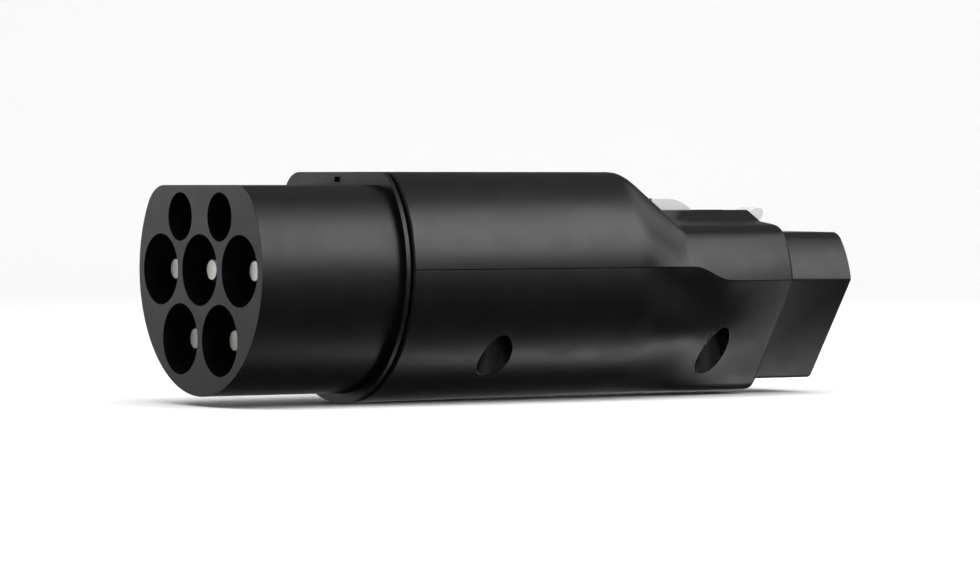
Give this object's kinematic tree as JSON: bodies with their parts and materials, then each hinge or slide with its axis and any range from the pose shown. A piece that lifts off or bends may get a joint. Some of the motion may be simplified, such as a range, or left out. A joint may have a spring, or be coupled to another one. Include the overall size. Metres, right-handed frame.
{
  "type": "ev charging adapter",
  "caption": "Charging adapter with a D-shaped pin nose at one end, a tapered socket nozzle at the other, two half shells between and a rocking lever on the neck.",
  "frame": {"origin": "mating axis of the nose (centre line of the earth pin) at the nose's front face", "axes": "+X along the mating axis from the nose towards the nozzle, +Z towards the flat top, +Y to complete the frame"},
  "size_m": [0.1589, 0.0588, 0.0511],
  "materials": {
    "shell_plastic": "satin moulded",
    "insert_plastic": "satin moulded",
    "nozzle_plastic": "satin moulded",
    "seal_rubber": "matt",
    "contact_metal": "silver plated, turned",
    "screw_steel": "zinc plated",
    "lever_plastic": "satin moulded",
    "inner_plastic": "plain",
    "wire_brown": "plain",
    "wire_blue": "plain",
    "wire_green": "plain",
    "wire_white": "plain",
    "board_green": "solder mask"
  },
  "bodies": {
    "body": {"front_insert": "insert_plastic", "pin_line_1": "contact_metal", "pin_line_2": "contact_metal", "pin_line_3": "contact_metal", "pin_neutral": "contact_metal", "pin_earth": "contact_metal", "pin_pilot": "contact_metal", "pin_proximity": "contact_metal", "pin_plate": "inner_plastic", "pin_plate_screws": "screw_steel", "front_seal": "seal_rubber", "upper_shell": "shell_plastic", "lower_shell": "shell_plastic", "shell_screws": "screw_steel", "lever_pin": "screw_steel", "lever_spring": "screw_steel", "nozzle": "nozzle_plastic", "socket_line": "contact_metal", "socket_neutral": "contact_metal", "socket_earth": "contact_metal", "socket_pilot": "contact_metal", "socket_proximity": "contact_metal", "socket_plate": "inner_plastic", "socket_plate_screws": "screw_steel", "wire_line": "wire_brown", "wire_neutral": "wire_blue", "wire_earth": "wire_green", "wire_pilot": "wire_white", "wire_proximity_in": "wire_white", "wire_proximity_out": "wire_white", "proximity_board": "board_green"},
    "lever": {"latch_lever": "lever_plastic"}
  },
  "joints": [
    {"name": "lever_rock", "type": "hinge", "parent": "body", "child": "lever", "pos_m": [0.128, 0, 0.0099], "axis": [0, -1, 0], "range_deg": [0, 6], "stiffness_Nm_per_rad": 0.2, "springref_deg": -2.86, "deforming": ["lever_spring"]}
  ]
}
